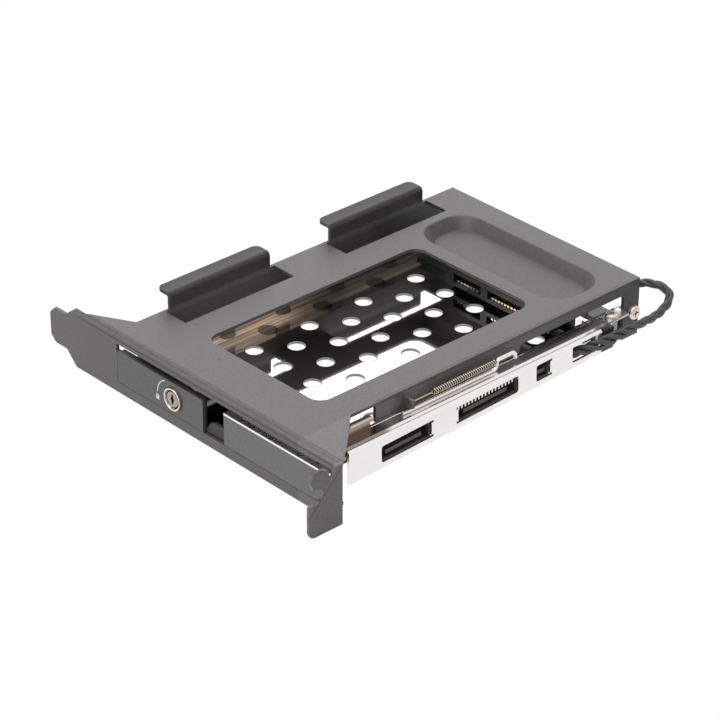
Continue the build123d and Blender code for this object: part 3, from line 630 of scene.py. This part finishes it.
def make_tray_mirror_with_painted_reflection_and_shade():
    """Mirror-bright sheet with painted shade in a grey ring round each hole, a painted warm reflection in
    streaks up the left bend and painted shade in the mouth.
    """
    material = steel("mirror_stainless_painted_reflection_and_shade", MIRROR_COLOUR, 0.05, 0.02, 0.05)
    nodes, links = material.node_tree.nodes, material.node_tree.links
    shader = nodes["Principled BSDF"]
    spot, x, y, _ = object_axes(nodes, links)

    def span(value, name):
        return ranged(nodes, links, value, *TRAY_SPANS[name])

    # painted reflection: warm bands up the left bend, fading towards the rear, with more roughness and
    # less metal there so that the colour shows
    bands = add_noise(nodes, links, squeezed(nodes, links, spot, PAINTED_REFLECTION_SQUEEZE), 2.0)
    bands.inputs["Scale"].default_value = PAINTED_REFLECTION_SCALE
    painted_reflection = nodes.new("ShaderNodeValToRGB")
    for element, (position, colour) in zip(painted_reflection.color_ramp.elements, (PAINTED_REFLECTION_DARK, PAINTED_REFLECTION_PALE)):
        element.position = position
        element.color = colour
    links.new(bands.outputs["Fac"], painted_reflection.inputs["Fac"])
    side = span(x, "left_bend")
    body = nodes.new("ShaderNodeMix")
    body.data_type = "RGBA"
    body.inputs["A"].default_value = (*MIRROR_COLOUR, 1)
    links.new(side, body.inputs["Factor"])
    links.new(painted_reflection.outputs["Color"], body.inputs["B"])
    links.new(by_mask(nodes, links, side, 0.05, 0.6), shader.inputs["Roughness"])
    links.new(by_mask(nodes, links, side, 1.0, 0.3), shader.inputs["Metallic"])
    fade = faded(nodes, links, span(y, "painted_reflection_to_rear"), side)
    # painted shade in a thin ring round each hole's edge
    rim_shade = span(hole_distance(nodes, links, spot), "hole_rim_shade")
    # painted shade in the mouth and round the holes, times the fading of the painted reflection
    shade = times(nodes, links, span(y, "mouth_shade"), fade, rim_shade)
    links.new(scaled(nodes, links, body.outputs["Result"], shade), shader.inputs["Base Color"])
    return material


SLIDE_COLOUR = (0.84, 0.82, 0.80)
SLIDE_FRONT_COLOUR = (0.30, 0.25, 0.21)
SLIDE_FRONT_SPAN = (27.0, 30.0, 0.0, 1.0)


def slide_finish():
    """Bright strip that is darker and brown at its folded front."""
    material = steel("slide_steel", SLIDE_COLOUR, 0.2, 0.03, 0.02)
    nodes, links = material.node_tree.nodes, material.node_tree.links
    y = object_axes(nodes, links)[2]
    blend = nodes.new("ShaderNodeMix")
    blend.data_type = "RGBA"
    blend.inputs["A"].default_value = (*SLIDE_FRONT_COLOUR, 1)
    blend.inputs["B"].default_value = (*SLIDE_COLOUR, 1)
    links.new(ranged(nodes, links, y, *SLIDE_FRONT_SPAN), blend.inputs["Factor"])
    links.new(blend.outputs["Result"], nodes["Principled BSDF"].inputs["Base Color"])
    return material


# coats: colour, roughness, grain size, depth; steels: colour, roughness, lines, waves
cover_coat_with_painted_light_and_shade = make_cover_coat_with_painted_light_and_shade()
door_coat = coated("door_powder_coat", (0.080, 0.077, 0.078), 0.46, 2000.0, 0.14)
flap_coat = coated("flap_powder_coat", (0.108, 0.104, 0.106), 0.44, 2000.0, 0.14)
backing_coat = coated("dark_backing", (0.032, 0.029, 0.026), 0.55, 1800.0, 0.08)
tray_mirror_with_painted_reflection_and_shade = make_tray_mirror_with_painted_reflection_and_shade()
rail_steel = steel("satin_stainless", (0.86, 0.83, 0.81), 0.28, 0.12, 0.03)
zinc = steel("zinc_plate", (0.60, 0.57, 0.53), 0.3, 0.04, 0.03)
slide_steel = slide_finish()
screw_steel = steel("screw_plate", (0.78, 0.69, 0.63), 0.36, 0.02, 0.02)
bright_fold = steel("bright_fold", (0.92, 0.91, 0.90), 0.3, 0.05, 0.02)
lock_ring_metal = steel("lock_ring", (0.86, 0.80, 0.74), 0.18, 0.02, 0.02)
lock_face_metal = steel("lock_face", (0.42, 0.36, 0.31), 0.3, 0.02, 0.02)
rod_metal = steel("bright_rod", (0.78, 0.74, 0.70), 0.18, 0.02, 0.02)
wire = steel("spring_wire", (0.44, 0.37, 0.30), 0.25, 0.03, 0.02)
gold = steel("gold_contacts", (0.88, 0.72, 0.52), 0.25, 0.05, 0.02)
pale_pins = steel("pale_pins", (0.86, 0.80, 0.73), 0.25, 0.05, 0.02)
moulded = coated("black_moulding", (0.028, 0.027, 0.027), 0.42, 1400.0, 0.06)
port_moulding = coated("port_moulding", (0.062, 0.058, 0.058), 0.4, 1400.0, 0.06)
board_resist = coated("board_resist", (0.014, 0.017, 0.014), 0.35, 900.0, 0.05)
sleeve = coated("wire_sleeve", (0.056, 0.056, 0.058), 0.5, 1800.0, 0.1)
pale_mark = coated("pale_mark", (0.62, 0.61, 0.60), 0.5, 1500.0, 0.04)
leads.data.materials.append(sleeve)

FINISH = {
    "cover_bracket": cover_coat_with_painted_light_and_shade,
    "lock_panel": door_coat,
    "pull_flap": flap_coat,
    "drive_tray": tray_mirror_with_painted_reflection_and_shade,
    "side_rail": rail_steel,
    "door_backing_plate": backing_coat,
    "flap_trim": bright_fold,
    "hinge_pin": zinc,
    "link_pin": zinc,
    "lock_housing": lock_face_metal,
    "lock_plug": lock_face_metal,
    "lock_cam": zinc,
    "eject_slide": slide_steel,
    "eject_rod": rod_metal,
    "eject_spring": wire,
    "spring_hook": wire,
    "backplane_board": board_resist,
    "side_board": board_resist,
    "drive_connector": moulded,
    "drive_contacts": gold,
    "port_front": port_moulding,
    "port_middle": port_moulding,
    "port_rear": port_moulding,
    "port_contacts": pale_pins,
    "cable_boot": moulded,
    "cable_header": moulded,
    "cable": sleeve,
    "wall_screws": screw_steel,
    "ledge_screw": screw_steel,
}
for node, finish in FINISH.items():
    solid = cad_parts[node]
    if not solid.material_slots:
        solid.data.materials.append(finish)
    for holder in solid.material_slots:
        holder.material = finish


# ---------------------------------------------------------------- spring
SPRING_COILS = 30
SPRING_WIRE_D = 0.4
SPRING_WIRE_SIDES = 7
SPRING_D = 1.9
SPRING_TURN_STEPS = 14


def make_spring():
    """A ring of wire wound into coils that stretch between the cage and the ejector."""
    low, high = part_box("eject_spring")
    axis_x = (low[0] + high[0]) / 2
    axis_z = (low[2] + high[2]) / 2
    deselect()
    bpy.ops.mesh.primitive_circle_add(
        vertices=SPRING_WIRE_SIDES,
        radius=SPRING_WIRE_D / 2 * MM,
        fill_type="NOTHING",
        location=((SPRING_D - SPRING_WIRE_D) / 2 * MM, 0, 0),
        rotation=(pi / 2, 0, 0),
    )
    spring = bpy.context.object
    settle(spring)
    winding = spring.modifiers.new("winding", "SCREW")
    winding.axis = "Z"
    winding.angle = 2 * pi
    winding.screw_offset = (high[1] - low[1] - SPRING_WIRE_D * MM) / SPRING_COILS
    winding.iterations = SPRING_COILS
    winding.steps = winding.render_steps = SPRING_TURN_STEPS
    bpy.ops.object.modifier_apply(modifier="winding")
    face_outwards(spring)
    spring.rotation_euler = (-pi / 2, 0, 0)
    spring.location = (axis_x, low[1] + SPRING_WIRE_D / 2 * MM, axis_z)
    settle(spring)
    bpy.ops.object.shade_smooth()
    spring.name = "spring_coils"
    spring.data.materials.append(wire)
    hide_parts("eject_spring")
    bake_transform(spring)


make_spring()

# ---------------------------------------------------------------- lock housing with a thin bright rim
LOCK_X, LOCK_Z = -12.4, 8.375
LOCK_SIDES = 48
LOCK_RIM_D = 6.7
LOCK_RIM_WIDE = 0.4
LOCK_DISH_DEEP = 0.3
LOCK_DISH_WIDE = 0.25
LOCK_BORE_LEFT = 0.5
LOCK_EDGE = 0.1
LOCK_RING_WIDE = 0.46
LOCK_RING_DEEP = 0.6
LOCK_SEAT_D = 7.3
LOCK_SEAT_OUT = 0.06
LOCK_SEAT_UNDER = 0.2
SMOOTH_ANGLE = radians(35)


def make_lock_barrel():
    """A barrel whose front is a thin rim, a recessed dish and a bore for the plug."""
    low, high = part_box("lock_housing")
    depth = high[1] - low[1]
    deselect()
    bpy.ops.mesh.primitive_cylinder_add(
        vertices=LOCK_SIDES,
        radius=LOCK_RIM_D / 2 * MM,
        depth=depth,
        location=(LOCK_X * MM, (low[1] + high[1]) / 2, LOCK_Z * MM),
        rotation=(pi / 2, 0, 0),
    )
    barrel = bpy.context.object
    settle(barrel)
    bpy.ops.object.mode_set(mode="EDIT")
    pick_faces(barrel, lambda centre, normal: normal.y < -0.9)
    bpy.ops.mesh.inset(thickness=LOCK_RIM_WIDE * MM)
    bpy.ops.mesh.extrude_region_move(TRANSFORM_OT_translate={"value": (0, LOCK_DISH_DEEP * MM, 0)})
    bpy.ops.mesh.inset(thickness=LOCK_DISH_WIDE * MM)
    bpy.ops.mesh.extrude_region_move(
        TRANSFORM_OT_translate={"value": (0, depth - LOCK_BORE_LEFT * MM, 0)}
    )
    bpy.ops.object.mode_set(mode="OBJECT")
    rounding = barrel.modifiers.new("rounding", "BEVEL")
    rounding.width = LOCK_EDGE * MM
    rounding.segments = 2
    rounding.limit_method = "ANGLE"
    take(barrel)
    bpy.ops.object.modifier_apply(modifier="rounding")
    face_outwards(barrel)
    bpy.ops.object.shade_smooth_by_angle(angle=SMOOTH_ANGLE)
    finish_piece(barrel, "lock_barrel", "door", lock_face_metal)
    barrel.data.materials.append(lock_ring_metal)
    for face in barrel.data.polygons:
        away = ((face.center.x / MM - LOCK_X) ** 2 + (face.center.z / MM - LOCK_Z) ** 2) ** 0.5
        if away > LOCK_RIM_D / 2 - LOCK_RING_WIDE and face.center.y < low[1] + LOCK_RING_DEEP * MM:
            face.material_index = 1
    return barrel


def make_lock_seat():
    """A thin dark ring round the rim, open where the barrel stands."""
    middle = (LOCK_X * MM, -LOCK_SEAT_OUT * MM, LOCK_Z * MM)
    deselect()
    bpy.ops.mesh.primitive_circle_add(
        vertices=LOCK_SIDES,
        radius=LOCK_SEAT_D / 2 * MM,
        fill_type="NOTHING",
        location=middle,
        rotation=(pi / 2, 0, 0),
    )
    seat = bpy.context.object
    settle(seat)
    bpy.ops.object.mode_set(mode="EDIT")
    bpy.ops.mesh.select_all(action="SELECT")
    bpy.ops.mesh.extrude_region_move()
    share = (LOCK_RIM_D - LOCK_SEAT_UNDER) / LOCK_SEAT_D
    bpy.ops.transform.resize(value=(share, 1, share), center_override=middle)
    bpy.ops.mesh.select_all(action="SELECT")
    bpy.ops.mesh.extrude_region_move(TRANSFORM_OT_translate={"value": (0, LOCK_SEAT_OUT * MM, 0)})
    bpy.ops.mesh.select_all(action="SELECT")
    bpy.ops.mesh.normals_make_consistent(inside=False)
    bpy.ops.object.mode_set(mode="OBJECT")
    seat.data.materials.append(backing_coat)
    return seat


def make_lock_housing():
    barrel = make_lock_barrel()
    join_pieces([barrel, make_lock_seat()])
    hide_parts("lock_housing")


# ---------------------------------------------------------------- screws with a cross recess
SCREW_HEAD_D = 4.2
SCREW_HEAD_H = 1.4
SCREW_DOME = 0.5
SCREW_RECESS = (2.3, 0.55, 1.5)
SCREW_D = 2.0
SHANK_LENGTH = 1.8
SHANK_TIP = 0.2
WALL_SCREW_SPOTS = ((37.8, 126.5, 8.3), (-37.8, 126.5, 8.3), (-37.8, 14.2, 8.3))
LEDGE_HEAD_D = 3.5
LEDGE_SCREW_SPOT = (39.2, 116.1, 11.0)


def aimed(way):
    """The turn that brings a piece's +Z to a direction."""
    return Vector(way).to_track_quat("Z", "Y").to_euler()


def make_screw_form(head_d):
    """One screw head at the origin, facing up, domed and with a cross recess."""
    deselect()
    bpy.ops.mesh.primitive_cylinder_add(
        vertices=32,
        radius=head_d / 2 * MM,
        depth=SCREW_HEAD_H * MM,
        location=(0, 0, SCREW_HEAD_H / 2 * MM),
    )
    head = bpy.context.object
    settle(head)
    bpy.ops.object.mode_set(mode="EDIT")
    pick_faces(head, lambda centre, normal: normal.z > 0.9)
    bpy.ops.mesh.bevel(offset=SCREW_DOME * MM, segments=3)
    bpy.ops.object.mode_set(mode="OBJECT")
    recess = []
    for turn in (0, pi / 2):
        deselect()
        bpy.ops.mesh.primitive_cube_add(size=1, location=(0, 0, SCREW_HEAD_H * MM))
        bar = bpy.context.object
        bar.scale = Vector(SCREW_RECESS) * MM
        bar.rotation_euler = (0, 0, turn)
        settle(bar)
        recess.append(bar)
    for bar in recess:
        cut = head.modifiers.new("recess", "BOOLEAN")
        cut.operation = "DIFFERENCE"
        cut.solver = "EXACT"
        cut.object = bar
        take(head)
        bpy.ops.object.modifier_apply(modifier="recess")
        bpy.data.objects.remove(bar)
    face_outwards(head)
    bpy.ops.object.shade_smooth_by_angle(angle=SMOOTH_ANGLE)
    return head


def place_screw(form, spot, way):
    """A copy of the screw head with its own mesh, facing along a direction."""
    copy = form.copy()
    copy.data = form.data.copy()
    bpy.context.collection.objects.link(copy)
    copy.rotation_euler = aimed(way)
    copy.location = Vector(spot) * MM
    settle(copy)
    return copy


def add_shank(screw, spot, way):
    """Joins a plain shank to a screw head, on the side away from its direction."""
    deselect()
    bpy.ops.mesh.primitive_cylinder_add(vertices=20, radius=SCREW_D / 2 * MM, depth=SHANK_LENGTH * MM)
    shank = bpy.context.object
    shank.rotation_euler = aimed(way)
    shank.location = (Vector(spot) - Vector(way) * SHANK_LENGTH / 2) * MM
    settle(shank)
    bpy.ops.object.mode_set(mode="EDIT")
    pick_faces(shank, lambda centre, normal: normal.dot(Vector(way)) < -0.9)
    bpy.ops.mesh.bevel(offset=SHANK_TIP * MM, segments=2)
    bpy.ops.object.mode_set(mode="OBJECT")
    join_pieces([screw, shank])


def make_screws():
    form = make_screw_form(SCREW_HEAD_D)
    wall = []
    for spot in WALL_SCREW_SPOTS:
        way = (1 if spot[0] > 0 else -1, 0, 0)
        screw = place_screw(form, spot, way)
        add_shank(screw, spot, way)
        wall.append(screw)
    join_pieces(wall)
    finish_piece(wall[0], "wall_screws_cross", "cage", screw_steel)
    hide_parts("wall_screws")
    ledge = make_screw_form(LEDGE_HEAD_D)
    ledge.location = Vector(LEDGE_SCREW_SPOT) * MM
    settle(ledge)
    finish_piece(ledge, "ledge_screw_cross", "cage", screw_steel)
    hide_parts("ledge_screw")
    bpy.data.objects.remove(form)


# ---------------------------------------------------------------- printed lock sign
SIGN_THICK = 0.04
SIGN_X, SIGN_Z = -19.1, 6.1
SIGN_WIDE, SIGN_HIGH = 1.3, 1.2
SIGN_EDGE = 0.12
SIGN_RAISED = 0.01
SHACKLE = {
    "centre": (SIGN_X, SIGN_Z + 0.55),
    "radius": 0.45,
    "width": 0.24,
    "start": 0.0,
    "stop": pi,
    "steps": 12,
}
SWEEP = {
    "centre": (-14.1, 8.0),
    "radius": 5.0,
    "width": 0.32,
    "start": radians(112),
    "stop": radians(180),
    "steps": 16,
}


def make_sign_band(name, centre, radius, width, start, stop, steps):
    """A flat band round a centre: one small face, spun from one angle to another."""
    centre_x, centre_z = centre
    deselect()
    bpy.ops.mesh.primitive_plane_add(size=1, location=(0, 0, 0))
    band = bpy.context.object
    band.scale = (width * MM, SIGN_THICK * MM, 1)
    settle(band)
    band.location = Vector((
        centre_x + radius * cos(start),
        -SIGN_THICK / 2,
        centre_z + radius * sin(start),
    )) * MM
    band.rotation_euler = (0, -start, 0)
    settle(band)
    bpy.ops.object.mode_set(mode="EDIT")
    bpy.ops.mesh.select_all(action="SELECT")
    bpy.ops.mesh.spin(
        steps=steps,
        angle=stop - start,
        center=(centre_x * MM, 0, centre_z * MM),
        axis=(0, 1, 0),
    )
    bpy.ops.object.mode_set(mode="OBJECT")
    face_outwards(band)
    finish_piece(band, name, "door", pale_mark)


def make_sign_body():
    deselect()
    bpy.ops.mesh.primitive_cube_add(size=1, location=(SIGN_X * MM, -SIGN_THICK / 2 * MM, SIGN_Z * MM))
    body = bpy.context.object
    body.scale = (SIGN_WIDE * MM, SIGN_THICK * MM, SIGN_HIGH * MM)
    settle(body)
    bpy.ops.object.mode_set(mode="EDIT")
    pick_faces(body, lambda centre, normal: normal.y < -0.9)
    bpy.ops.mesh.inset(thickness=SIGN_EDGE * MM)
    bpy.ops.mesh.extrude_region_move(TRANSFORM_OT_translate={"value": (0, -SIGN_RAISED * MM, 0)})
    bpy.ops.object.mode_set(mode="OBJECT")
    face_outwards(body)
    finish_piece(body, "sign_body", "door", pale_mark)


make_lock_housing()
make_screws()
make_sign_body()
make_sign_band("sign_shackle", **SHACKLE)
make_sign_band("sign_sweep", **SWEEP)


# ---------------------------------------------------------------- studio
FLOOR_SIZE_M = 8.0
FLOOR_BELOW_M = 0.0002
FLOOR_COLOUR = (0.93, 0.93, 0.93, 1)
WHITE = (1, 1, 1, 1)
WORLD_LEVEL = 0.45

# name, place, aimed at, size and power, in metres and watts
SOFTBOXES = (
    ("rear_sheen", (-0.52, 0.56, 0.44), (0, 0.06, 0.01), 0.75, 2.2),
    ("overhead", (-0.05, -0.05, 0.9), (0, 0.06, 0), 0.6, 4.0),
    ("front_left", (-0.35, -0.8, 0.35), (0, 0.0, 0), 0.5, 4.0),
)


def seen_or_reflected(nodes, links):
    """1 for rays from the camera, reflections and what is seen through; 0 for plain light."""
    ray = nodes.new("ShaderNodeLightPath")
    mask = combine(nodes, links, "MAXIMUM", ray.outputs["Is Camera Ray"], ray.outputs["Is Glossy Ray"])
    return combine(nodes, links, "MAXIMUM", mask, ray.outputs["Is Transmission Ray"])


def mix_by_ray(nodes, links, plain, seen, surface):
    """Sends one shader to plain light and another to the camera and reflections."""
    mix = nodes.new("ShaderNodeMixShader")
    links.new(seen_or_reflected(nodes, links), mix.inputs["Fac"])
    links.new(plain, mix.inputs[1])
    links.new(seen, mix.inputs[2])
    links.new(mix.outputs["Shader"], surface)


def studio_white(name):
    """White to the camera and in reflections, plain pale to everything else."""
    material, nodes, links, shader = plain_material(name)
    shader.inputs["Base Color"].default_value = FLOOR_COLOUR
    shader.inputs["Roughness"].default_value = 0.9
    glow = nodes.new("ShaderNodeEmission")
    glow.inputs["Color"].default_value = WHITE
    glow.inputs["Strength"].default_value = 1.0
    surface = nodes["Material Output"].inputs["Surface"]
    mix_by_ray(nodes, links, shader.outputs["BSDF"], glow.outputs["Emission"], surface)
    return material


def lay_floor():
    deselect()
    bpy.ops.mesh.primitive_plane_add(size=FLOOR_SIZE_M, location=(0, 0, cad_box[0][2] - FLOOR_BELOW_M))
    floor = bpy.context.object
    settle(floor)
    floor.name = "studio_floor"
    floor.data.materials.append(studio_white("studio_floor"))


def light_world(level):
    """White behind the object and in its reflections, a plain level of light on it."""
    world = bpy.data.worlds.new("studio")
    bpy.context.scene.world = world
    world.use_nodes = True
    nodes, links = world.node_tree.nodes, world.node_tree.links
    dome = nodes["Background"]
    dome.inputs["Color"].default_value = WHITE
    dome.inputs["Strength"].default_value = level
    seen = nodes.new("ShaderNodeBackground")
    seen.inputs["Color"].default_value = WHITE
    seen.inputs["Strength"].default_value = 1.0
    surface = nodes["World Output"].inputs["Surface"]
    mix_by_ray(nodes, links, dome.outputs["Background"], seen.outputs["Background"], surface)


def softbox(name, spot, aim, size, power):
    lamp = bpy.data.lights.new(name, "AREA")
    lamp.shape = "SQUARE"
    lamp.size = size
    lamp.energy = power
    holder = bpy.data.objects.new(name, lamp)
    bpy.context.collection.objects.link(holder)
    holder.location = spot
    holder.rotation_euler = (Vector(aim) - Vector(spot)).to_track_quat("-Z", "Y").to_euler()


lay_floor()
light_world(WORLD_LEVEL)
for box in SOFTBOXES:
    softbox(*box)
